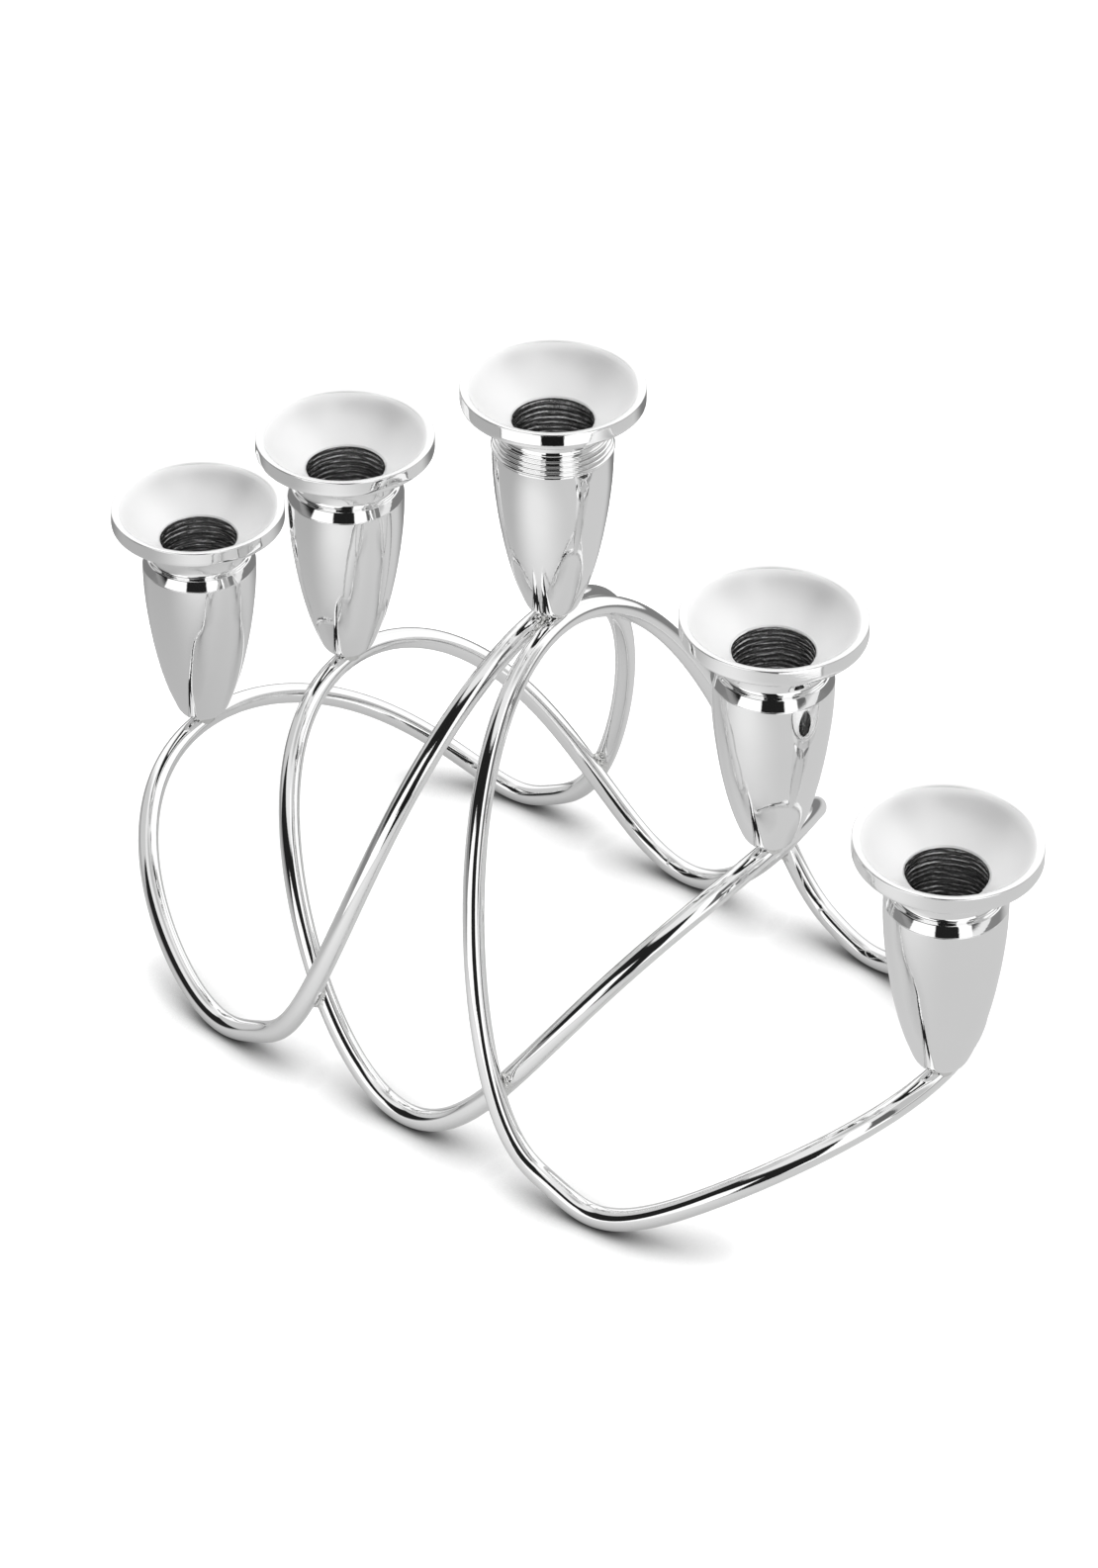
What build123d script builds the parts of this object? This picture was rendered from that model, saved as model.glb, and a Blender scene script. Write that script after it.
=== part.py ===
from build123d import *
import math
import os

# Five-light table candelabrum: three closed rings of round rod, each bent into
# a saddle, brazed together where they cross, with five turned candle cups on
# their crests. +X runs along the row of cups, +Y to the back, +Z up. The origin
# is the middle of the object on the plane it stands on. Millimetres.

# ---------------------------------------------------------------- dimensions
ROD_R = 2.9            # rod radius
STATIONS = 24          # spline intervals along half a ring
CUT_PAST = 1.0         # how far a cutter runs past the face it opens
FOOT_CUTTER = (400, 300, 8)  # block under the standing plane: x, y, depth

OUTER_X = 128.0        # outer cups, to either side of the middle
INNER_X = 72.5         # inner cups
CREST_OUTER = 37.1     # rod centre height under the outer cups
CREST_INNER = 81.6     # ... under the inner cups
CREST_CENTRE = 124.1   # ... under the centre cup

# Ring centrelines as harmonics of the angle p round the ring: one row each for
# x (cosines), y (sines) and z (cosines), lowest harmonic first.
LEFT_RING = (          # p = 0 at the outer crest, pi at the one by the middle
    (-56.1161, -53.0378, -7.4894, -8.9738, -1.8695, -0.5134),
    (0.0, 77.9508, -0.8685, 11.2939, 0.2339, 0.7543),
    (37.2052, -35.5557, 38.0841, -7.7011, 6.4130, -0.2431, -1.1023),
)
MIDDLE_RING = (        # p = 0 at the left crest, pi at the right one
    (0.0, -68.0312, 0.0, -4.0242, 0.0, -0.4445),
    (0.0, 71.9252, 0.0, 6.8460, 0.0, 0.1878),
    (43.5343, 0.0, 39.5696, 0.0, -1.3443, 0.0, -0.1596),
)

# Braze metal
BRAZE_GAP = 0.03       # clearance left between a rod and the braze round it
CROSS = (-31.917, -64.615, 26.550)  # left ring meets middle ring, front left
CROSS_P_LEFT = 2.132397             # where that is along each ring's angle
CROSS_P_MIDDLE = 1.022407
CROSS_BLOB_R = 4.3
CREST_BRAZE_LENGTH = 12.0           # along Y, between the side rings
CREST_BRAZE_RADII = (2.7, 1.4)      # elliptical section: x, z
CREST_BRAZE_DROP = 0.7              # its centre below the rods' centres
SEAT_WEB = 0.4         # thickness between rod top and cup base
SEAT_DEPTH = 1.9       # reach of a seat below the rod's top
SEAT_TAPER = 0.5       # a seat's bottom radius is this much smaller
CENTRE_SEAT_EXTRA = 0.5  # the centre seat's radius is this much larger

# Locating pins between cups and rods
PIN_R = 0.8
PIN_HOLE_R = 0.82
PIN_UP = 5.0           # into the cup
PIN_DOWN = 1.6         # into the rod, below its top
PIN_END_GAP = 0.1      # taken off each end of a pin
CUP_HOLE_EXTRA = 0.2   # depth of a cup's pin hole beyond PIN_UP

# Nozzle and cup body, heights measured down from the rim
RIM_R = 25.0           # dish radius
RIM_EDGE = 0.45        # bevel on the rim's outer edge
RIM_WALL = 4.9         # depth of the rim's outside
RIM_ROUND_H = 0.9      # height of the rounded lower edge
RIM_ROUND_MID = (0.22, 0.3)  # its middle: in from RIM_R, up from the underside
UNDERSIDE_R = 24.2     # where the underside meets that rounded edge
UNDERSIDE_END = (1, 0.22)    # direction of the underside there
LIP_R = 22.5           # inner edge of the bevelled lip
LIP_DROP = 0.55
DISH_DEPTH = 10.5      # dish bottom, where the candle bore opens
BORE_R = 11.4          # candle bore
BORE_DEPTH = 22.0      # length of the bore's wall
BORE_FLOOR = 1.5
COLLAR_R = 16.4        # widest ring, where the nozzle meets the cup body
COLLAR_Z = 18.6        # its seat
COLLAR_BREAK = 0.15    # small bevels either side of the seat
COLLAR_EDGE = 0.3      # from the seat up to the collar's bevel
BEVEL_H = 1.7
NECK_R = 13.7
SPIGOT_R = 12.9        # nozzle spigot
SOCKET_R = 12.95       # socket in the cup body
SOCKET_FLOOR = 34.3
BASE_Z = 69.6          # blunt end of the cup body
BASE_R = 4.0

REED_COUNT = 4         # ridges round the centre nozzle's neck
REED_H = 1.35
REED_STEP = 0.35       # radius lost from one ridge to the next above
REED_BULGE = 0.10      # bulge of a ridge beyond its lower edge
REED_GROOVE = 0.35     # depth of a groove inside the next ridge's lower edge
REED_BULGE_AT = 0.45   # heights of bulge and groove, as fractions of REED_H
REED_GROOVE_AT = 0.9

# Turned curves between their named ends: radius, height from the rim
DISH_CURVE = ((18.9, -4.6), (15.2, -7.9))
PLAIN_NECK_CURVE = ((14.2, -12.6), (17.6, -7.7))
REEDED_NECK_CURVE = ((18.4, -7.2),)
REEDED_NECK_START = (0.35, 0.9)  # first point above the ridges: in, up
BODY_CURVE = (
    (16.25, -25.3), (15.65, -32.5), (14.70, -39.7), (13.45, -46.9),
    (11.80, -54.2), (9.60, -61.4), (8.20, -65.0), (6.35, -68.3),
)


# ---------------------------------------------------------------- ring curves
def on_ring(ring, p):
    """The point of a ring's centreline at angle p."""
    x_terms, y_terms, z_terms = ring
    return (
        sum(a * math.cos(k * p) for k, a in enumerate(x_terms)),
        -sum(a * math.sin(k * p) for k, a in enumerate(y_terms)),
        sum(a * math.cos(k * p) for k, a in enumerate(z_terms)),
    )


def half_ring(ring):
    """Stations from the first crest, round the front foot, to the second crest."""
    points = [on_ring(ring, math.pi * i / STATIONS) for i in range(STATIONS + 1)]
    # both crests lie exactly on the mirror plane
    for end in (0, -1):
        points[end] = (points[end][0], 0.0, points[end][2])
    return points


def make_rod(ring, pins):
    """A whole ring, feet cut flat, with a hole for each pin (x, crest height)."""
    with BuildPart() as rod:
        with BuildLine() as path:
            Spline(
                *half_ring(ring),
                tangents=((0, -1, 0), (0, 1, 0)), tangent_scalars=(1, 1),
            )
        with BuildSketch(Plane(origin=path.line @ 0, x_dir=(1, 0, 0), z_dir=(0, -1, 0))):
            Circle(ROD_R)
        sweep()
        mirror(about=Plane.XZ)
        with BuildSketch(Plane.XY):
            Rectangle(FOOT_CUTTER[0], FOOT_CUTTER[1])
        extrude(amount=-FOOT_CUTTER[2], mode=Mode.SUBTRACT)
        for pin_x, crest in pins:
            with BuildSketch(Plane.XY.offset(crest + ROD_R - PIN_DOWN)):
                with Locations((pin_x, 0)):
                    Circle(PIN_HOLE_R)
            extrude(amount=PIN_DOWN + 2 * CUT_PAST, mode=Mode.SUBTRACT)
    return rod


def mirrored(source, plane):
    """The mirror image of a finished piece."""
    with BuildPart() as image:
        add(mirror(source.part, about=plane))
    return image


def short_tube(ring, p, half_span):
    """A short length of a ring, slightly fatter than the rod, to hollow braze metal."""
    points = [on_ring(ring, p + half_span * (i / 4 - 1)) for i in range(9)]
    with BuildPart() as tube:
        with BuildLine() as path:
            Spline(*points)
        with BuildSketch(Plane(origin=path.line @ 0, z_dir=path.line % 0)):
            Circle(ROD_R + BRAZE_GAP)
        sweep()
    return tube.part


# ---------------------------------------------------------------- braze metal
def crossing_braze():
    """Blob of braze metal where the left ring meets the middle one in front."""
    with BuildPart() as blob:
        with Locations(CROSS):
            Sphere(CROSS_BLOB_R)
        add(cut_left_cross, mode=Mode.SUBTRACT)
        add(cut_middle_cross, mode=Mode.SUBTRACT)
    return blob


def crest_braze():
    """Long fillet between the two side rings where they run together at the top."""
    with BuildPart() as fillet_metal:
        with BuildSketch(Plane.XZ.offset(-CREST_BRAZE_LENGTH / 2)):
            with Locations((0, CREST_CENTRE - CREST_BRAZE_DROP)):
                Ellipse(*CREST_BRAZE_RADII)
        extrude(amount=CREST_BRAZE_LENGTH)
        for cut in centre_cuts:
            add(cut, mode=Mode.SUBTRACT)
    return fillet_metal


def seat(x, crest, pin_xs, radius, cuts):
    """Saddle of braze metal between a cup's blunt end and the rod under it."""
    rod_top = crest + ROD_R
    with BuildPart() as saddle:
        with BuildSketch(Plane.XY.offset(rod_top - SEAT_DEPTH)):
            with Locations((x, 0)):
                Circle(radius - SEAT_TAPER)
        with BuildSketch(Plane.XY.offset(rod_top + SEAT_WEB)):
            with Locations((x, 0)):
                Circle(radius)
        loft()
        for cut in cuts:
            add(cut, mode=Mode.SUBTRACT)
        with BuildSketch(Plane.XY.offset(rod_top - SEAT_DEPTH - CUT_PAST)):
            with Locations(*[(pin_x, 0) for pin_x in pin_xs]):
                Circle(PIN_HOLE_R)
        extrude(amount=SEAT_DEPTH + SEAT_WEB + 2 * CUT_PAST, mode=Mode.SUBTRACT)
    return saddle


# ---------------------------------------------------------------- candle cups
def turning_plane(x, crest):
    """Upright plane for a turned outline, its origin on the cup's axis at the rim."""
    rim = crest + ROD_R + SEAT_WEB + BASE_Z
    return Plane(origin=(x, 0, rim), x_dir=(1, 0, 0), z_dir=(0, -1, 0))


def cup_body(x, crest, pin_xs):
    """Solid turned tulip with a socket for the nozzle's spigot in its top."""
    collar_foot = (COLLAR_R, -COLLAR_Z - COLLAR_BREAK)
    with BuildPart() as body:
        with BuildSketch(turning_plane(x, crest)):
            with BuildLine():
                Polyline(
                    (BASE_R, -BASE_Z), (0, -BASE_Z), (0, -SOCKET_FLOOR),
                    (SOCKET_R, -SOCKET_FLOOR), (SOCKET_R, -COLLAR_Z),
                    (COLLAR_R - COLLAR_BREAK, -COLLAR_Z), collar_foot,
                )
                Spline(
                    collar_foot, *BODY_CURVE, (BASE_R, -BASE_Z),
                    tangents=((0, -1), (-1, -0.28)),
                )
            make_face()
        revolve(axis=Axis((x, 0, 0), (0, 0, 1)))
        with BuildSketch(Plane.XY.offset(crest + ROD_R + SEAT_WEB - CUT_PAST)):
            with Locations(*[(pin_x, 0) for pin_x in pin_xs]):
                Circle(PIN_HOLE_R)
        extrude(amount=PIN_UP + CUP_HOLE_EXTRA + CUT_PAST, mode=Mode.SUBTRACT)
    return body


def nozzle(x, crest, reeded):
    """Drip dish, neck, collar and candle tube in one turned piece."""
    bore_end = -DISH_DEPTH - BORE_DEPTH
    spigot_end = bore_end - BORE_FLOOR
    rim_edge = (RIM_R, -RIM_EDGE)
    rim_foot = (RIM_R, -RIM_WALL + RIM_ROUND_H)
    lip = (LIP_R, -LIP_DROP)
    bore_mouth = (BORE_R, -DISH_DEPTH)
    collar_low = (COLLAR_R, -COLLAR_Z + COLLAR_BREAK)
    neck_foot = (NECK_R, -COLLAR_Z + COLLAR_EDGE + BEVEL_H)
    underside = (UNDERSIDE_R, -RIM_WALL)
    with BuildPart() as cup:
        with BuildSketch(turning_plane(x, crest)):
            with BuildLine():
                # lip and dish
                Polyline(rim_edge, (RIM_R - RIM_EDGE, 0), lip)
                Spline(lip, *DISH_CURVE, bore_mouth)
                # candle tube
                Polyline(
                    bore_mouth, (BORE_R, bore_end), (0, bore_end),
                    (0, spigot_end), (SPIGOT_R, spigot_end),
                    (SPIGOT_R, -COLLAR_Z), (COLLAR_R - COLLAR_BREAK, -COLLAR_Z),
                    collar_low,
                )
                if reeded:
                    # rounded ridges, each a little wider than the one above
                    r, z = collar_low
                    for _ in range(REED_COUNT):
                        next_r = r - REED_STEP
                        groove = (next_r - REED_GROOVE, z + REED_H * REED_GROOVE_AT)
                        ThreePointArc(
                            (r, z), (r + REED_BULGE, z + REED_H * REED_BULGE_AT), groove,
                        )
                        Line(groove, (next_r, z + REED_H))
                        r = next_r
                        z += REED_H
                    Spline(
                        (r, z), (r - REEDED_NECK_START[0], z + REEDED_NECK_START[1]),
                        *REEDED_NECK_CURVE, underside,
                        tangents=((-1, 0.4), UNDERSIDE_END),
                    )
                else:
                    Polyline(collar_low, (COLLAR_R, -COLLAR_Z + COLLAR_EDGE), neck_foot)
                    Spline(
                        neck_foot, *PLAIN_NECK_CURVE, underside,
                        tangents=((0, 1), UNDERSIDE_END),
                    )
                # rounded lower edge and outside of the rim
                ThreePointArc(
                    underside,
                    (RIM_R - RIM_ROUND_MID[0], -RIM_WALL + RIM_ROUND_MID[1]),
                    rim_foot,
                )
                Line(rim_foot, rim_edge)
            make_face()
        revolve(axis=Axis((x, 0, 0), (0, 0, 1)))
    return cup


def make_pins():
    """All the locating pins, as one piece of separate solids."""
    with BuildPart() as pins:
        for _, crest, pin_xs in CUPS.values():
            for pin_x in pin_xs:
                with BuildSketch(Plane.XY.offset(crest + ROD_R - PIN_DOWN + PIN_END_GAP)):
                    with Locations((pin_x, 0)):
                        Circle(PIN_R)
                extrude(amount=PIN_DOWN + SEAT_WEB + PIN_UP - 2 * PIN_END_GAP)
    return pins


# ---------------------------------------------------------------- pieces
# The centre cup has two pins, one into the crest of each side ring
CENTRE_PIN_X = -on_ring(LEFT_RING, math.pi)[0]

# Cup place: x, rod centre height under it, x of its pins
CUPS = {
    "left_outer": (-OUTER_X, CREST_OUTER, (-OUTER_X,)),
    "left_inner": (-INNER_X, CREST_INNER, (-INNER_X,)),
    "centre": (0.0, CREST_CENTRE, (-CENTRE_PIN_X, CENTRE_PIN_X)),
    "right_inner": (INNER_X, CREST_INNER, (INNER_X,)),
    "right_outer": (OUTER_X, CREST_OUTER, (OUTER_X,)),
}

cut_left_cross = short_tube(LEFT_RING, CROSS_P_LEFT, half_span=0.12)
cut_middle_cross = short_tube(MIDDLE_RING, CROSS_P_MIDDLE, half_span=0.12)
cut_outer_crest = short_tube(LEFT_RING, 0.0, half_span=0.10)
cut_inner_crest = short_tube(MIDDLE_RING, 0.0, half_span=0.10)
cut_centre_left = short_tube(LEFT_RING, math.pi, half_span=0.14)
centre_cuts = (cut_centre_left, mirror(cut_centre_left, about=Plane.YZ))

rod_left = make_rod(LEFT_RING, ((-OUTER_X, CREST_OUTER), (-CENTRE_PIN_X, CREST_CENTRE)))
crossing_front = crossing_braze()
crossing_back = mirrored(crossing_front, Plane.XZ)
seat_outer = seat(*CUPS["left_outer"], BASE_R, (cut_outer_crest,))
seat_inner = seat(*CUPS["left_inner"], BASE_R, (cut_inner_crest,))

pieces = {
    "rod_left": rod_left,
    "rod_middle": make_rod(
        MIDDLE_RING, ((-INNER_X, CREST_INNER), (INNER_X, CREST_INNER))
    ),
    "rod_right": mirrored(rod_left, Plane.YZ),
    "crossing_braze_front_left": crossing_front,
    "crossing_braze_front_right": mirrored(crossing_front, Plane.YZ),
    "crossing_braze_back_left": crossing_back,
    "crossing_braze_back_right": mirrored(crossing_back, Plane.YZ),
    "crest_braze_centre": crest_braze(),
    "seat_braze_left_outer": seat_outer,
    "seat_braze_left_inner": seat_inner,
    "seat_braze_centre": seat(*CUPS["centre"], BASE_R + CENTRE_SEAT_EXTRA, centre_cuts),
    "seat_braze_right_inner": mirrored(seat_inner, Plane.YZ),
    "seat_braze_right_outer": mirrored(seat_outer, Plane.YZ),
    "locating_pins": make_pins(),
}
for place, (x, crest, pin_xs) in CUPS.items():
    pieces[f"cup_{place}"] = cup_body(x, crest, pin_xs)
    pieces[f"nozzle_{place}"] = nozzle(x, crest, reeded=place == "centre")

# ---------------------------------------------------------------- export
os.makedirs("parts", exist_ok=True)
for name, piece in pieces.items():
    piece.part.label = name
    export_step(piece.part, f"parts/{name}.step")
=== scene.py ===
import bpy, bmesh, math
import numpy as np
from mathutils import Vector, Matrix


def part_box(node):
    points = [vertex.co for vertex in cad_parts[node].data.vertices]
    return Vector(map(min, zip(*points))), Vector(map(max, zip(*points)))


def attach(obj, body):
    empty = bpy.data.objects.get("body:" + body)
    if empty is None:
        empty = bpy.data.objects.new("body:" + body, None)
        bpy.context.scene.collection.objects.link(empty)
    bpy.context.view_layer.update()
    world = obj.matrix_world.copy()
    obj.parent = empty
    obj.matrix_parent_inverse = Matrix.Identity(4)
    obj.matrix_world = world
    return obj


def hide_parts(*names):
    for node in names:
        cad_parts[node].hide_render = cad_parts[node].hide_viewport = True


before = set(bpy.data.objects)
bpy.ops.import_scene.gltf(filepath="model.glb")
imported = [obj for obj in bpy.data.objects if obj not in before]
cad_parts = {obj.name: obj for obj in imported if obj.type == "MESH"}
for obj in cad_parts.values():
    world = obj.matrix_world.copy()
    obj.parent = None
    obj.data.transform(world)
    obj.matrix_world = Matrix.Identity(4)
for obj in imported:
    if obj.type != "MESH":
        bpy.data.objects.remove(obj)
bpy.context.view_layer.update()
MM = 0.001
rng = np.random.default_rng(11)

# ------------------------------------------------------------------ helpers


def v3(a):
    return np.array([a[0], a[1], a[2]], float)


def make_object(name, verts, faces, mat=None, smooth=True, sharp=None):
    me = bpy.data.meshes.new(name)
    me.from_pydata([tuple(map(float, p)) for p in verts], [], [tuple(map(int, f)) for f in faces])
    me.validate(clean_customdata=False)
    me.update()
    if smooth:
        me.polygons.foreach_set("use_smooth", [True] * len(me.polygons))
    ob = bpy.data.objects.new(name, me)
    bpy.context.scene.collection.objects.link(ob)
    if mat is not None:
        for m in (mat if isinstance(mat, (list, tuple)) else [mat]):
            me.materials.append(m)
    return ob


def cspline(pts, n, t0=None, t1=None):
    """Parametric cubic through pts, chord-length knots, clamped to end directions if given."""
    P = np.array(pts, float)
    s = np.r_[0, np.cumsum(np.linalg.norm(np.diff(P, axis=0), axis=1))]
    h = np.diff(s)
    m = len(P)
    A = np.zeros((m, m))
    B = np.zeros_like(P)
    for i in range(1, m - 1):
        A[i, i - 1] = h[i]
        A[i, i] = 2 * (h[i - 1] + h[i])
        A[i, i + 1] = h[i - 1]
        B[i] = 3 * (h[i] * (P[i] - P[i - 1]) / h[i - 1] + h[i - 1] * (P[i + 1] - P[i]) / h[i])
    if t0 is not None:
        t0 = np.array(t0, float)
        A[0, 0] = 1
        B[0] = t0 / np.linalg.norm(t0)
    else:
        A[0, 0], A[0, 1] = 2, 1
        B[0] = 3 * (P[1] - P[0]) / h[0]
    if t1 is not None:
        t1 = np.array(t1, float)
        A[-1, -1] = 1
        B[-1] = t1 / np.linalg.norm(t1)
    else:
        A[-1, -1], A[-1, -2] = 2, 1
        B[-1] = 3 * (P[-1] - P[-2]) / h[-1]
    D = np.linalg.solve(A, B)
    out = []
    for u in np.linspace(0, s[-1], n):
        i = min(max(int(np.searchsorted(s, u, side="right")) - 1, 0), m - 2)
        t = (u - s[i]) / h[i]
        a = (1 + 2 * t) * (1 - t) ** 2
        b = t * (1 - t) ** 2
        c = t * t * (3 - 2 * t)
        d = t * t * (t - 1)
        out.append(a * P[i] + b * h[i] * D[i] + c * P[i + 1] + d * h[i] * D[i + 1])
    return [tuple(p) for p in out]


def rounded(pts, corners, seg=4):
    """Polyline with the given corners (index: radius) eased by short curves."""
    P = [np.array(p, float) for p in pts]
    out = []
    for i, p in enumerate(P):
        r = corners.get(i)
        if not r or i == 0 or i == len(P) - 1:
            out.append(p)
            continue
        a, b = P[i - 1] - p, P[i + 1] - p
        la, lb = np.linalg.norm(a), np.linalg.norm(b)
        ra, rb = min(r, la * 0.45), min(r, lb * 0.45)
        q0, q2 = p + a / la * ra, p + b / lb * rb
        for k in range(seg + 1):
            t = k / seg
            out.append((1 - t) ** 2 * q0 + 2 * t * (1 - t) * p + t * t * q2)
    return out


def smooth_noise(*coords, seed=0, octaves=3):
    """Cheap repeatable smooth noise from a few incommensurate sines."""
    r = np.random.default_rng(seed)
    out = 0
    amp = 1.0
    f = 1.0
    for _ in range(octaves):
        for _ in range(3):
            w = r.normal(size=len(coords)) * f
            out = out + amp * np.sin(sum(c * k for c, k in zip(coords, w)) + r.uniform(0, 6.28))
        amp *= 0.55
        f *= 2.03
    return out / 3.5


# ------------------------------------------------------------------ rings
SIDE_X = (-56.1161, -53.0378, -7.4894, -8.9738, -1.8695, -0.5134)
SIDE_Y = (0.0, 77.9508, -0.8685, 11.2939, 0.2339, 0.7543)
SIDE_Z = (37.2052, -35.5557, 38.0841, -7.7011, 6.4130, -0.2431, -1.1023)
MID_X = (0.0, -68.0312, 0.0, -4.0242, 0.0, -0.4445)
MID_Y = (0.0, 71.9252, 0.0, 6.8460, 0.0, 0.1878)
MID_Z = (43.5343, 0.0, 39.5696, 0.0, -1.3443, 0.0, -0.1596)
ROD_R = 2.9


def ring(h, p):
    xs, ys, zs = h
    p = np.asarray(p, float)
    return np.stack(
        [
            sum(a * np.cos(k * p) for k, a in enumerate(xs)),
            -sum(a * np.sin(k * p) for k, a in enumerate(ys)),
            sum(a * np.cos(k * p) for k, a in enumerate(zs)),
        ],
        -1,
    )


SIDE = (SIDE_X, SIDE_Y, SIDE_Z)
MID = (MID_X, MID_Y, MID_Z)


def ring_points(h, n, mirror=False):
    p = np.linspace(0, 2 * math.pi, 4001)
    q = ring(h, p)
    s = np.r_[0, np.cumsum(np.linalg.norm(np.diff(q, axis=0), axis=1))]
    pp = np.interp(np.linspace(0, s[-1], n, endpoint=False), s, p)
    q = ring(h, pp)
    if mirror:
        q = q * [-1, 1, 1]
    return q


def tube(name, P, r, around, mat):
    n = len(P)
    T = np.roll(P, -1, 0) - np.roll(P, 1, 0)
    T /= np.linalg.norm(T, axis=1)[:, None]
    N = np.zeros_like(P)
    a = np.cross(T[0], [0, 0, 1.0])
    N[0] = a / np.linalg.norm(a)
    for i in range(1, n):
        v = N[i - 1] - T[i] * (N[i - 1] @ T[i])
        N[i] = v / np.linalg.norm(v)
    v = N[-1] - T[0] * (N[-1] @ T[0])
    v /= np.linalg.norm(v)
    B0 = np.cross(T[0], N[0])
    twist = math.atan2(v @ B0, v @ N[0])
    verts = []
    for i in range(n):
        B = np.cross(T[i], N[i])
        c = -twist * i / n
        for k in range(around):
            t = 2 * math.pi * k / around + c
            verts.append(P[i] + r * (math.cos(t) * N[i] + math.sin(t) * B))
    V = np.array(verts)
    V[:, 2] = np.maximum(V[:, 2], 0.0)      # the flats filed under the feet
    faces = []
    for i in range(n):
        j = (i + 1) % n
        for k in range(around):
            l = (k + 1) % around
            faces.append((i * around + k, j * around + k, j * around + l, i * around + l))
    ob = make_object(name, V * MM, faces, mat)
    return ob


def revolve(name, prof, centre, seg, mat, slots=None, warp=None):
    """Closed or axis-to-axis profile of (r, z) in mm turned about the vertical through centre."""
    x0, y0, z0 = centre
    rings = []
    verts = []
    for i, (r, z) in enumerate(prof):
        if r < 1e-6:
            rings.append([len(verts)])
            verts.append((x0, y0, z0 + z * MM))
        else:
            ids = []
            for k in range(seg):
                t = 2 * math.pi * k / seg
                rr, zz = (r, z) if warp is None else warp(i, r, z, t)
                ids.append(len(verts))
                verts.append((x0 + rr * MM * math.cos(t), y0 + rr * MM * math.sin(t), z0 + zz * MM))
            rings.append(ids)
    faces = []
    fslot = []
    n = len(prof)
    for i in range(n - 1):
        a, b = rings[i], rings[i + 1]
        s = 0 if slots is None else slots[i]
        if len(a) == 1 and len(b) == 1:
            continue
        for k in range(seg):
            l = (k + 1) % seg
            if len(a) == 1:
                f = (a[0], b[l], b[k])
            elif len(b) == 1:
                f = (a[k], a[l], b[0])
            else:
                f = (a[k], a[l], b[l], b[k])
            faces.append(f)
            fslot.append(s)
    ob = make_object(name, verts, faces, mat)
    ob.data.polygons.foreach_set("material_index", fslot)
    bm = bmesh.new()
    bm.from_mesh(ob.data)
    bmesh.ops.recalc_face_normals(bm, faces=bm.faces)
    bm.to_mesh(ob.data)
    bm.free()
    return ob


# ------------------------------------------------------------------ materials
def nodes_of(name):
    m = bpy.data.materials.new(name)
    m.use_nodes = True
    nt = m.node_tree
    nt.nodes.clear()
    out = nt.nodes.new("ShaderNodeOutputMaterial")
    bsdf = nt.nodes.new("ShaderNodeBsdfPrincipled")
    nt.links.new(bsdf.outputs[0], out.inputs[0])
    tc = nt.nodes.new("ShaderNodeTexCoord")
    return m, nt, bsdf, tc


def noise(nt, tc, scale, detail=3.0, rough=0.5, vec=None):
    n = nt.nodes.new("ShaderNodeTexNoise")
    n.inputs["Scale"].default_value = scale
    n.inputs["Detail"].default_value = detail
    n.inputs["Roughness"].default_value = rough
    nt.links.new(vec if vec is not None else tc.outputs["Object"], n.inputs["Vector"])
    return n


def ramp(nt, src, a, b, lo=0.0, hi=1.0):
    m = nt.nodes.new("ShaderNodeMapRange")
    m.inputs["From Min"].default_value = lo
    m.inputs["From Max"].default_value = hi
    m.inputs["To Min"].default_value = a
    m.inputs["To Max"].default_value = b
    nt.links.new(src, m.inputs["Value"])
    return m.outputs["Result"]


def grey(nt, src, lo, hi, warm=0.0):
    c = nt.nodes.new("ShaderNodeCombineColor")
    r = ramp(nt, src, lo, hi)
    b = ramp(nt, src, lo - warm, hi - warm)
    nt.links.new(r, c.inputs[0])
    nt.links.new(r, c.inputs[1])
    nt.links.new(b, c.inputs[2])
    return c.outputs[0]


def polished(name, base=(0.90, 0.95), rough=(0.025, 0.05), wave=0.00012, wave_scale=55.0, fine=0.000004, warm=0.0, metal=1.0):
    m, nt, bsdf, tc = nodes_of(name)
    bsdf.inputs["Metallic"].default_value = metal
    n1 = noise(nt, tc, 38.0, 4.0)
    nt.links.new(grey(nt, n1.outputs["Fac"], base[0], base[1], warm), bsdf.inputs["Base Color"])
    n2 = noise(nt, tc, 170.0, 5.0, 0.6)
    nt.links.new(ramp(nt, n2.outputs["Fac"], rough[0], rough[1], 0.3, 0.7), bsdf.inputs["Roughness"])
    b1 = nt.nodes.new("ShaderNodeBump")
    b1.inputs["Strength"].default_value = 1.0
    b1.inputs["Distance"].default_value = wave
    n3 = noise(nt, tc, wave_scale, 1.5, 0.4)
    nt.links.new(n3.outputs["Fac"], b1.inputs["Height"])
    b2 = nt.nodes.new("ShaderNodeBump")
    b2.inputs["Strength"].default_value = 1.0
    b2.inputs["Distance"].default_value = fine
    n4 = noise(nt, tc, 1800.0, 2.0)
    nt.links.new(n4.outputs["Fac"], b2.inputs["Height"])
    nt.links.new(b1.outputs["Normal"], b2.inputs["Normal"])
    nt.links.new(b2.outputs["Normal"], bsdf.inputs["Normal"])
    return m


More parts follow.
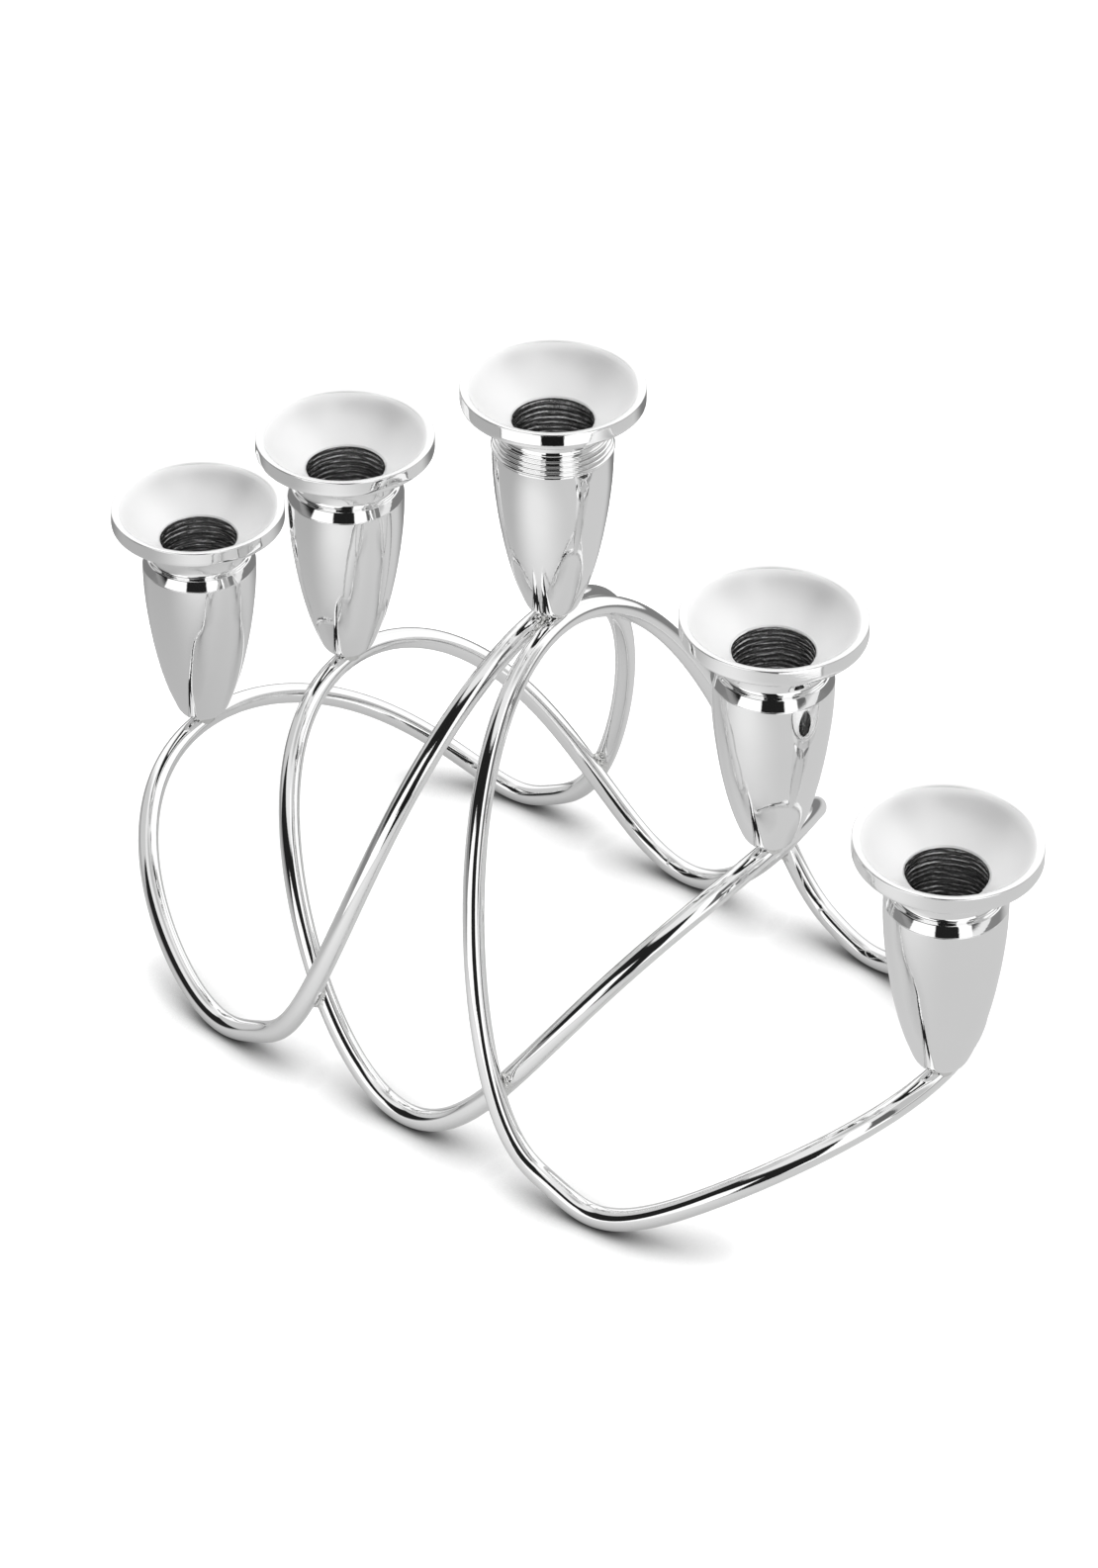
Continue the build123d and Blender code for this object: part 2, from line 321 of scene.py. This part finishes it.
def bore_metal(name):
    m, nt, bsdf, tc = nodes_of(name)
    bsdf.inputs["Metallic"].default_value = 1.0
    sep = nt.nodes.new("ShaderNodeSeparateXYZ")
    nt.links.new(tc.outputs["Object"], sep.inputs[0])
    mp = nt.nodes.new("ShaderNodeMapping")
    mp.inputs["Scale"].default_value = (60.0, 60.0, 1100.0)
    nt.links.new(tc.outputs["Object"], mp.inputs["Vector"])
    n1 = noise(nt, tc, 1.0, 5.0, 0.65, vec=mp.outputs["Vector"])
    n2 = noise(nt, tc, 420.0, 3.0, 0.6)
    mix = nt.nodes.new("ShaderNodeMath")
    mix.operation = "MULTIPLY"
    nt.links.new(n1.outputs["Fac"], mix.inputs[0])
    nt.links.new(n2.outputs["Fac"], mix.inputs[1])
    wave = nt.nodes.new("ShaderNodeTexWave")
    wave.wave_type = "BANDS"
    wave.bands_direction = "Z"
    wave.inputs["Scale"].default_value = 210.0
    wave.inputs["Distortion"].default_value = 5.0
    wave.inputs["Detail"].default_value = 3.0
    wave.inputs["Detail Scale"].default_value = 0.6
    tilt = nt.nodes.new("ShaderNodeMapping")
    tilt.inputs["Rotation"].default_value = (0.10, 0.07, 0.0)
    nt.links.new(tc.outputs["Object"], tilt.inputs["Vector"])
    nt.links.new(tilt.outputs["Vector"], wave.inputs["Vector"])
    line = ramp(nt, wave.outputs["Fac"], 0.0, 1.0, 0.35, 1.0)
    both = nt.nodes.new("ShaderNodeMath")
    both.operation = "MULTIPLY"
    nt.links.new(ramp(nt, mix.outputs[0], 0.35, 1.0, 0.12, 0.34), both.inputs[0])
    nt.links.new(line, both.inputs[1])
    c = grey(nt, both.outputs[0], 0.16, 1.0)
    nt.links.new(c, bsdf.inputs["Base Color"])
    nt.links.new(ramp(nt, n2.outputs["Fac"], 0.14, 0.26, 0.3, 0.7), bsdf.inputs["Roughness"])
    b1 = nt.nodes.new("ShaderNodeBump")
    b1.inputs["Distance"].default_value = 0.00050
    nt.links.new(n1.outputs["Fac"], b1.inputs["Height"])
    b2 = nt.nodes.new("ShaderNodeBump")
    b2.inputs["Distance"].default_value = 0.00010
    nt.links.new(n2.outputs["Fac"], b2.inputs["Height"])
    nt.links.new(b1.outputs["Normal"], b2.inputs["Normal"])
    nt.links.new(b2.outputs["Normal"], bsdf.inputs["Normal"])
    return m


M_ROD = polished("rod_plate", wave=0.00006, wave_scale=70.0)
M_CUP = polished("cup_plate", wave=0.00030, wave_scale=60.0)
M_DISH = polished("dish_plate", base=(0.84, 0.88), rough=(0.44, 0.50), wave=0.00010, wave_scale=30.0, metal=0.80)
M_LIP = polished("lip_plate", base=(0.93, 0.97), rough=(0.20, 0.26), wave=0.00005, wave_scale=30.0)
M_RIM = polished("rim_plate", wave=0.00010, wave_scale=60.0)
M_BORE = bore_metal("bore_turned")
M_BRAZE = polished("braze_metal", base=(0.66, 0.90), rough=(0.05, 0.20), wave=0.0012, wave_scale=420.0, fine=0.00002, warm=0.01)
M_PIN = polished("pin_wire", base=(0.55, 0.62), rough=(0.25, 0.35), wave=0.00002, wave_scale=400.0)

# ------------------------------------------------------------------ rods
N_RING = 600
for node, h, mir in (("rod_left", SIDE, False), ("rod_right", SIDE, True), ("rod_middle", MID, False)):
    ob = tube(node + "_bent", ring_points(h, N_RING, mir), ROD_R, 40, M_ROD)
    bm = bmesh.new()
    bm.from_mesh(ob.data)
    bmesh.ops.recalc_face_normals(bm, faces=bm.faces)
    bm.to_mesh(ob.data)
    bm.free()
    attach(ob, "frame")
    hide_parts(node)

# ------------------------------------------------------------------ cups
CUPS = ("left_outer", "left_inner", "centre", "right_inner", "right_outer")
RIM_R, RIM_WALL = 25.0, 4.9
LIP_R, LIP_DROP = 22.5, 0.55
DISH_DEPTH, BORE_R, BORE_DEPTH, BORE_FLOOR = 10.5, 11.4, 22.0, 1.5
COLLAR_R, COLLAR_Z, COLLAR_EDGE, BEVEL_H, NECK_R = 16.4, 18.6, 0.3, 1.7, 13.7
SPIGOT_R, SOCKET_R, SOCKET_FLOOR, BASE_Z, BASE_R = 12.9, 12.95, 34.3, 69.6, 4.0


def nozzle_profile(reeded):
    prof, slot = [], []

    def put(points, s):
        for p in points:
            if prof and math.hypot(prof[-1][0] - p[0], prof[-1][1] - p[1]) < 1e-4:
                continue
            prof.append((float(p[0]), float(p[1])))
            slot.append(s)

    # from the underside of the tube's floor, out, up the spigot, collar, neck, rim, dish, bore
    zb = -DISH_DEPTH - BORE_DEPTH - BORE_FLOOR
    put(rounded([(0, zb), (SPIGOT_R, zb), (SPIGOT_R, -COLLAR_Z)], {1: 0.4}), 0)
    put([(SPIGOT_R, -COLLAR_Z)], 0)
    if not reeded:
        # one broad steep bevel, a small step in to the neck, then the flare out to the rim
        z1 = -COLLAR_Z + 0.12
        put(
            rounded(
                [(SPIGOT_R, -COLLAR_Z), (COLLAR_R, -COLLAR_Z), (COLLAR_R, z1), (15.25, -15.65), (14.2, -15.25), (14.05, -14.2)],
                {1: 0.08, 2: 0.08, 3: 0.30, 4: 0.5},
                5,
            )[1:],
            0,
        )
        put(cspline([(14.05, -14.2), (14.5, -11.6), (17.8, -7.6), (24.2, -RIM_WALL)], 40, (0.1, 1), (1, 0.22)), 0)
    else:
        put(rounded([(SPIGOT_R, -COLLAR_Z), (COLLAR_R, -COLLAR_Z), (COLLAR_R, -COLLAR_Z + 0.15)], {1: 0.12})[1:], 0)
        z0, r0 = -COLLAR_Z + 0.15, COLLAR_R
        for k in range(4):
            r1 = r0 - 0.35
            a = np.array((r0, z0))
            m = np.array((r0 + 0.26, z0 + 1.35 * 0.45))
            b = np.array((r1 - 0.50, z0 + 1.35 * 0.92))
            c = 2 * m - 0.5 * (a + b)
            put([(1 - t) ** 2 * a + 2 * t * (1 - t) * c + t * t * b for t in np.linspace(0, 1, 9)], 0)
            z0 += 1.35
            r0 = r1
            put([(r0, z0)], 0)
        put(cspline([(r0, z0), (r0 - 0.35, z0 + 0.9), (18.4, -7.2), (24.2, -RIM_WALL)], 36, (-1, 0.4), (1, 0.22)), 0)
    # rim wall
    a, m, b = np.array((24.2, -RIM_WALL)), np.array((RIM_R - 0.22, -RIM_WALL + 0.3)), np.array((RIM_R, -RIM_WALL + 0.9))
    c = 2 * m - 0.5 * (a + b)
    put([(1 - t) ** 2 * a + 2 * t * (1 - t) * c + t * t * b for t in np.linspace(0, 1, 8)], 0)
    put([(RIM_R, -3.2), (RIM_R, -2.0), (RIM_R, -1.0)], 0)
    lip = rounded([(RIM_R, -1.0), (RIM_R, 0.0), (LIP_R, -LIP_DROP), (19.9, -3.45)], {1: 0.45, 2: 1.7}, 10)
    k = next(i for i, p in enumerate(lip) if p[0] < LIP_R + 0.35)
    put(lip[1:k], 3)
    put(lip[k:-1], 1)
    dish = cspline([(21.0, -2.2), (18.9, -4.6), (15.2, -7.9), (BORE_R + 0.2, -DISH_DEPTH + 0.05)], 44)
    put(dish, 1)
    put([(BORE_R + 0.03, -DISH_DEPTH - 0.02), (BORE_R, -DISH_DEPTH - 0.2)], 1)
    first_bore = len(prof)
    n = 150
    put([(BORE_R, -DISH_DEPTH - 0.2 - (BORE_DEPTH - 0.4) * k / n) for k in range(1, n + 1)], 2)
    put([(BORE_R - 0.3, -DISH_DEPTH - BORE_DEPTH), (6.0, -DISH_DEPTH - BORE_DEPTH), (0, -DISH_DEPTH - BORE_DEPTH)], 2)
    return prof, slot, first_bore, first_bore + n


def bore_marks(seed):
    """Radial depth of the coarse turning marks, as a function of height and angle."""
    r = np.random.default_rng(seed)
    ph = r.uniform(0, 6.28, 8)

    def f(z, t):
        zz = z + 0.75 * t / (2 * math.pi) + 0.28 * math.sin(t + ph[0]) + 0.12 * math.sin(3 * t + ph[1])
        a = 1 - 1.6 * abs(math.sin(math.pi * zz / 1.5 + 0.35 * math.sin(2 * t + ph[2])))
        b = 1 - 1.6 * abs(math.sin(math.pi * zz / 0.86 + 0.5 * math.sin(3 * t + ph[3]) + ph[4]))
        c = math.sin(2 * math.pi * zz / 4.1 + math.sin(t + ph[5]))
        d = math.sin(23 * t + 7.0 * zz + ph[6]) * math.sin(13 * t - 5.1 * zz + ph[7])
        return 0.30 + 0.16 * a * (0.65 + 0.35 * math.sin(2 * t + ph[1])) + 0.09 * b + 0.05 * c + 0.05 * d

    return f


for idx, cup in enumerate(CUPS):
    lo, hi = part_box("nozzle_" + cup)
    centre = ((lo[0] + hi[0]) / 2, (lo[1] + hi[1]) / 2, hi[2])
    prof, slot, b0, b1 = nozzle_profile(cup == "centre")
    marks = bore_marks(40 + idx)

    def warp(i, r, z, t, b0=b0, b1=b1, marks=marks):
        if b0 <= i < b1:
            return r - max(0.0, marks(z, t)), z
        return r, z

    ob = revolve("nozzle_%s_turned" % cup, prof, centre, 192, [M_RIM, M_DISH, M_BORE, M_LIP], slot, warp)
    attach(ob, "nozzle_%s_body" % cup)
    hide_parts("nozzle_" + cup)

    body = rounded([(0, -SOCKET_FLOOR), (SOCKET_R, -SOCKET_FLOOR), (SOCKET_R, -COLLAR_Z), (COLLAR_R, -COLLAR_Z), (COLLAR_R, -COLLAR_Z - 0.5)], {1: 0.3, 3: 0.2})
    side = cspline(
        [(COLLAR_R, -COLLAR_Z - 0.5), (16.25, -25.3), (15.65, -32.5), (14.70, -39.7), (13.45, -46.9), (11.80, -54.2), (9.60, -61.4), (8.20, -65.0), (6.35, -68.3), (BASE_R, -BASE_Z)],
        80, (0, -1), (-1, -0.28),
    )
    bp = [tuple(p) for p in body] + side[1:] + [(BASE_R - 0.6, -BASE_Z), (0, -BASE_Z)]
    ob = revolve("cup_%s_turned" % cup, bp, centre, 160, [M_CUP])
    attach(ob, "frame")
    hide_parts("cup_" + cup)


# ------------------------------------------------------------------ braze
def icosphere(level):
    bm = bmesh.new()
    bmesh.ops.create_icosphere(bm, subdivisions=level, radius=1.0)
    V = np.array([v.co[:] for v in bm.verts])
    F = [[v.index for v in f.verts] for f in bm.faces]
    bm.free()
    return V / np.linalg.norm(V, axis=1)[:, None], F


def rod_distance(q, curve):
    """Distance from points q to a finely sampled rod's surface."""
    a, b = curve[:-1], curve[1:]
    ab = b - a
    out = np.full(len(q), 1e9)
    L = (ab * ab).sum(1)
    for i in range(len(a)):
        t = np.clip(((q - a[i]) @ ab[i]) / L[i], 0, 1)
        d = np.linalg.norm(q - a[i] - t[:, None] * ab[i], axis=1)
        out = np.minimum(out, d)
    return out - ROD_R


def smin(a, b, k):
    k = np.maximum(k, 1e-6)
    h = np.clip(0.5 + 0.5 * (b - a) / k, 0, 1)
    return b * (1 - h) + a * h - k * h * (1 - h)


def fillet(name, node, c, curves, reach, k0, stretch=(1, 1, 1), seed=0, lumps=0.12):
    """Braze fillet: the smooth union of two rods near c, seen from c outward."""
    D, F = icosphere(5)
    st = np.array(stretch)
    D = D * st
    L = np.linalg.norm(D, axis=1)
    steps = np.linspace(0.05, 1.0, 40)
    hit = np.ones(len(D))
    done = np.zeros(len(D), bool)

    def g(P):
        u = (P - c) / st
        rad = np.linalg.norm(u, axis=1) / reach
        k = k0 * np.clip(1 - rad ** 2, 0, 1)
        nz = smooth_noise(*(P - c).T, seed=seed)
        da, db = rod_distance(P, curves[0]), rod_distance(P, curves[1])
        crotch = np.clip(1 - np.abs(da - db) / 2.4, 0, 1)      # metal only where the two rods meet
        return smin(da, db, k) - lumps * np.clip(1 - rad, 0, 1) * (0.8 + nz) * crotch + 0.09 * (1 - crotch)

    prev = np.zeros(len(D))
    pv = g(np.repeat(c[None], len(D), 0))
    for s in steps:
        val = g(c + D * reach * s)
        new = (val > 0) & ~done
        if new.any():
            t = prev[new] + (s - prev[new]) * (-pv[new]) / np.maximum(val[new] - pv[new], 1e-9)
            hit[new] = np.clip(t, 0.02, 1)
            done |= new
        prev[~done] = s
        pv = np.where(done, pv, val)
    V = c + D * reach * hit[:, None]
    ob = make_object(name, V * MM, F, M_BRAZE)
    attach(ob, "frame")
    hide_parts(node)
    return ob


P_SIDE, P_MID = 2.132397, 1.022407
near_side = ring(SIDE, np.linspace(P_SIDE - 0.2, P_SIDE + 0.2, 25))
near_mid = ring(MID, np.linspace(P_MID - 0.2, P_MID + 0.2, 25))
cross = (ring(SIDE, P_SIDE) + ring(MID, P_MID)) / 2
for i, (tag, sx, sy) in enumerate((("front_left", 1, 1), ("front_right", -1, 1), ("back_left", 1, -1), ("back_right", -1, -1))):
    m = np.array([sx, sy, 1.0])
    fillet("crossing_%s_fillet" % tag, "crossing_braze_" + tag, cross * m, (near_side * m, near_mid * m), 7.4, 3.1, seed=70 + i, lumps=0.45)
top = ring(SIDE, np.linspace(math.pi - 0.3, math.pi + 0.3, 41))
fillet("crest_fillet", "crest_braze_centre", (top[20] * [0, 1, 1]), (top, top * [-1, 1, 1]), 4.6, 2.2, stretch=(1, 2.6, 1), seed=80, lumps=0.05)

# carried-over CAD nodes
for node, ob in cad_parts.items():
    if node.startswith("seat_braze"):
        ob.data.materials.clear()
        ob.data.materials.append(M_BRAZE)
    if node == "locating_pins":
        ob.data.materials.clear()
        ob.data.materials.append(M_PIN)

# ------------------------------------------------------------------ floor, light, camera
CAM_AZ = 37.15


class Shade:
    """Small helper for building scalar node expressions in one tree."""

    def __init__(self, nt):
        self.nt = nt

    def m(self, op, a, b=None, c=None):
        n = self.nt.nodes.new("ShaderNodeMath")
        n.operation = op
        for i, v in enumerate((a, b, c)):
            if v is None:
                continue
            if isinstance(v, (int, float)):
                n.inputs[i].default_value = v
            else:
                self.nt.links.new(v, n.inputs[i])
        return n.outputs[0]

    def mul(self, *v):
        r = v[0]
        for q in v[1:]:
            r = self.m("MULTIPLY", r, q)
        return r

    def add(self, *v):
        r = v[0]
        for q in v[1:]:
            r = self.m("ADD", r, q)
        return r

    def inv(self, a):
        return self.m("SUBTRACT", 1.0, a)

    def step(self, src, edge, soft):
        """0 below edge, 1 above it, over soft units."""
        n = self.nt.nodes.new("ShaderNodeMapRange")
        n.interpolation_type = "SMOOTHSTEP"
        n.inputs["From Min"].default_value = edge - soft / 2
        n.inputs["From Max"].default_value = edge + soft / 2
        self.nt.links.new(src, n.inputs["Value"])
        return n.outputs["Result"]

    def window(self, src, lo, hi, soft):
        return self.mul(self.step(src, lo, soft), self.inv(self.step(src, hi, soft)))

    def mix(self, f, a, b):
        """a where f is 0, b where f is 1."""
        return self.add(self.mul(self.inv(f), a), self.mul(f, b))

    def grey(self, v):
        cc = self.nt.nodes.new("ShaderNodeCombineColor")
        for i in range(3):
            self.nt.links.new(v, cc.inputs[i])
        return cc.outputs[0]


a = math.radians(CAM_AZ)
TO_CAM = (math.sin(a), -math.cos(a))
TO_RIGHT = (math.cos(a), math.sin(a))

fl = make_object(
    "floor",
    [(-9, -9, 0), (9, -9, 0), (9, 9, 0), (-9, 9, 0)],
    [(0, 1, 2, 3)],
    None,
    smooth=False,
)
m, nt, bsdf, tc = nodes_of("floor_paper")
n1 = noise(nt, tc, 3.0, 2.0)
# painted contact shadow: an ambient-occlusion term darkens the floor's own colour near the rods, on top of the real
# shadows
painted_contact_ao = nt.nodes.new("ShaderNodeAmbientOcclusion")
painted_contact_ao.samples = 8
painted_contact_ao.inputs["Distance"].default_value = 0.016
painted_contact_shade = nt.nodes.new("ShaderNodeMath")
painted_contact_shade.operation = "POWER"
nt.links.new(painted_contact_ao.outputs["AO"], painted_contact_shade.inputs[0])
painted_contact_shade.inputs[1].default_value = 1.5
paper_tone_with_painted_shade = nt.nodes.new("ShaderNodeMath")
paper_tone_with_painted_shade.operation = "MULTIPLY"
nt.links.new(ramp(nt, n1.outputs["Fac"], 0.90, 0.92), paper_tone_with_painted_shade.inputs[0])
nt.links.new(painted_contact_shade.outputs[0], paper_tone_with_painted_shade.inputs[1])
nt.links.new(grey(nt, paper_tone_with_painted_shade.outputs[0], 0.0, 1.0), bsdf.inputs["Base Color"])
bsdf.inputs["Roughness"].default_value = 0.9
bsdf.inputs["Specular IOR Level"].default_value = 0.0
# what the plated metal sees of the tabletop: for glossy rays the floor is a glowing emitter painted with light and
# shade, a grey that falls off away from the lights, and two white cards painted in front, either side of a painted dark
# gap
S = Shade(nt)
sep = nt.nodes.new("ShaderNodeSeparateXYZ")
nt.links.new(tc.outputs["Object"], sep.inputs[0])
X, Y = sep.outputs[0], sep.outputs[1]
near = S.add(S.mul(X, TO_CAM[0]), S.mul(Y, TO_CAM[1]))
side = S.add(S.mul(X, TO_RIGHT[0]), S.mul(Y, TO_RIGHT[1]))
dist = S.m("SQRT", S.add(S.mul(X, X), S.mul(Y, Y)))
faz = S.mul(S.m("ARCTAN2", side, near), 180 / math.pi)
# painted light on the glowing floor: brighter to the right, darker far away and towards the back
glossy_floor_glow = S.mix(S.step(side, -0.08, 0.4), 0.46, 0.63)
# painted pool of light on the glowing floor, in front of the object and to the left
px_, py_ = S.m("ADD", side, 0.11), S.m("SUBTRACT", near, 0.17)
painted_light_pool = S.inv(S.step(S.m("SQRT", S.add(S.mul(px_, px_), S.mul(py_, py_))), 0.12, 0.20))
glossy_floor_glow = S.mix(painted_light_pool, glossy_floor_glow, 0.86)
glossy_floor_glow = S.mix(S.step(dist, 0.50, 0.5), glossy_floor_glow, 0.24)
glossy_floor_glow = S.mix(S.inv(S.step(near, -0.19, 0.12)), glossy_floor_glow, 0.22)
# painted reflections of two white cards and a dark gap, laid on the glowing floor
painted_cards_and_gap = S.mix(S.window(faz, -64, -14, 3), 0.30, 1.15)
painted_cards_and_gap = S.mix(S.window(faz, 13, 54, 3), painted_cards_and_gap, 1.15)
painted_cards_and_gap = S.mix(S.window(faz, -14, 13, 2), painted_cards_and_gap, 0.01)
painted_card_mask = S.mul(S.step(dist, 0.315, 0.01), S.window(faz, -66, 56, 3))
# painted contact shade: ambient occlusion darkens the glowing floor near the rods, as seen in reflections
ao = nt.nodes.new("ShaderNodeAmbientOcclusion")
ao.samples = 6
ao.inputs["Distance"].default_value = 0.030
glossy_floor_glow = S.mul(glossy_floor_glow, S.mix(S.m("POWER", ao.outputs["AO"], 1.6), 0.30, 1.0))
painted_floor_glow = S.mix(painted_card_mask, glossy_floor_glow, painted_cards_and_gap)
# the floor glows with this painted light and shade for glossy rays only
painted_glow_emission = nt.nodes.new("ShaderNodeEmission")
nt.links.new(S.grey(painted_floor_glow), painted_glow_emission.inputs["Color"])
lp = nt.nodes.new("ShaderNodeLightPath")
ms = nt.nodes.new("ShaderNodeMixShader")
outn = [n for n in nt.nodes if n.type == "OUTPUT_MATERIAL"][0]
nt.links.new(lp.outputs["Is Glossy Ray"], ms.inputs[0])
nt.links.new(bsdf.outputs[0], ms.inputs[1])
nt.links.new(painted_glow_emission.outputs[0], ms.inputs[2])
nt.links.new(ms.outputs[0], outn.inputs[0])
fl.data.materials.append(m)

w = bpy.data.worlds.new("tent")
bpy.context.scene.world = w
w.use_nodes = True
nt = w.node_tree
nt.nodes.clear()
out = nt.nodes.new("ShaderNodeOutputWorld")
bg = nt.nodes.new("ShaderNodeBackground")
nt.links.new(bg.outputs[0], out.inputs[0])
S = Shade(nt)
tc = nt.nodes.new("ShaderNodeTexCoord")
sep = nt.nodes.new("ShaderNodeSeparateXYZ")
nt.links.new(tc.outputs["Generated"], sep.inputs[0])
X, Y, Z = sep.outputs
# azimuth seen from the object, 0 towards the camera, in degrees; elevation in degrees
fwd = S.add(S.mul(X, TO_CAM[0]), S.mul(Y, TO_CAM[1]))
rgt = S.add(S.mul(X, TO_RIGHT[0]), S.mul(Y, TO_RIGHT[1]))
az = S.mul(S.m("ARCTAN2", rgt, fwd), 180 / math.pi)
el = S.mul(S.m("ARCSINE", Z), 180 / math.pi)
# the room as the metal sees it: bright ceiling and back wall, a big window to the right,
# a dark side to the left, and two white cards either side of the dark standpoint
light = S.mix(S.step(el, 78, 14), S.mix(S.step(el, 48, 12), 0.42, 0.86), 0.50)
light = S.mix(S.mul(S.inv(S.window(az, -135, 140, 20)), S.window(el, 6, 64, 8)), light, 1.08)
light = S.mix(S.mul(S.window(az, -140, -96, 16), S.window(el, 4, 60, 10)), light, 0.62)
light = S.mix(S.mul(S.window(az, 80, 145, 14), S.window(el, -2, 60, 10)), light, 1.10)
light = S.mix(S.mul(S.window(az, 54, 82, 10), S.window(el, -2, 56, 10)), light, 0.55)
light = S.mix(S.mul(S.window(az, -98, -60, 8), S.window(el, -8, 6, 4)), light, 0.30)
light = S.mix(S.mul(S.window(az, -98, -60, 4), S.window(el, 4, 50, 5)), light, 0.015)
light = S.mix(S.mul(S.window(az, -62, 56, 4), S.window(el, -6, 50, 5)), light, 0.015)
light = S.mix(S.mul(S.window(az, 40, 58, 4), S.window(el, -6, 50, 5)), light, 0.13)
light = S.mix(S.mul(S.window(az, 38, 98, 4), S.window(el, -8, 5, 4)), light, 0.85)
lean = S.m("SUBTRACT", az, S.mul(el, 0.6))
light = S.mix(S.mul(S.step(lean, -66, 3), S.inv(S.step(az, -22, 3)), S.window(el, -8, 27, 4)), light, 1.15)
light = S.mix(S.mul(S.window(az, 18, 41, 3), S.window(el, -8, 66, 4)), light, 1.15)
light = S.mix(S.step(el, -5, 1), 0.25, light)
lp = nt.nodes.new("ShaderNodeLightPath")
# softly lit tent for everything but mirror reflections; white behind the object
even = S.add(0.85, S.mul(S.step(el, 58, 30), 2.9))
light = S.mix(lp.outputs["Is Glossy Ray"], even, light)
light = S.mix(lp.outputs["Is Camera Ray"], light, 1.0)
nt.links.new(S.grey(light), bg.inputs["Color"])
bg.inputs["Strength"].default_value = 1.0

# camera: a long lens with its standards kept upright (vertical lens shift)
CAM_F, CAM_CX, CAM_CY = 4937.1937, 555.0054, -597.4849      # in units of a 1110 x 1585 frame
CAM_POS = Vector((0.68488511, -0.90397419, 0.88549627))
CAM_RIGHT = Vector((0.795970562, 0.605333688, 0.001410591))
CAM_DOWN = Vector((0.207756465, -0.270994708, -0.939893143))
CAM_FWD = Vector((-0.568566720, 0.748420333, -0.341465797))
cam_data = bpy.data.cameras.new("camera")
cam_data.sensor_fit = "AUTO"
cam_data.sensor_width = 36.0
cam_data.lens = CAM_F / 1585 * 36.0
cam_data.shift_x = (555.0 - CAM_CX) / 1585
cam_data.clip_start, cam_data.clip_end = 0.05, 60.0
cam = bpy.data.objects.new("camera", cam_data)
bpy.context.scene.collection.objects.link(cam)
cam.rotation_mode = "QUATERNION"
cam.matrix_world = Matrix(
    (
        (CAM_RIGHT[0], -CAM_DOWN[0], -CAM_FWD[0], CAM_POS[0]),
        (CAM_RIGHT[1], -CAM_DOWN[1], -CAM_FWD[1], CAM_POS[1]),
        (CAM_RIGHT[2], -CAM_DOWN[2], -CAM_FWD[2], CAM_POS[2]),
        (0, 0, 0, 1),
    )
)
bpy.context.scene.camera = cam
# the shift belongs to this standpoint only: any other one looks straight at the object
SHIFT_Y = (CAM_CY - 792.5) / 1585
drv = cam_data.driver_add("shift_y").driver
drv.type = "SCRIPTED"
for axis in "XYZ":
    var = drv.variables.new()
    var.name = "p" + axis.lower()
    var.type = "TRANSFORMS"
    var.targets[0].id = cam
    var.targets[0].transform_type = "LOC_" + axis
    var.targets[0].transform_space = "WORLD_SPACE"
drv.expression = "%.6f if abs(px - %.5f) + abs(py + %.5f) + abs(pz - %.5f) < 0.002 else 0.0" % (
    SHIFT_Y, CAM_POS[0], -CAM_POS[1], CAM_POS[2])

sc = bpy.context.scene
sc.view_settings.view_transform = "Standard"
sc.view_settings.look = "None"
sc.view_settings.exposure = 0.0
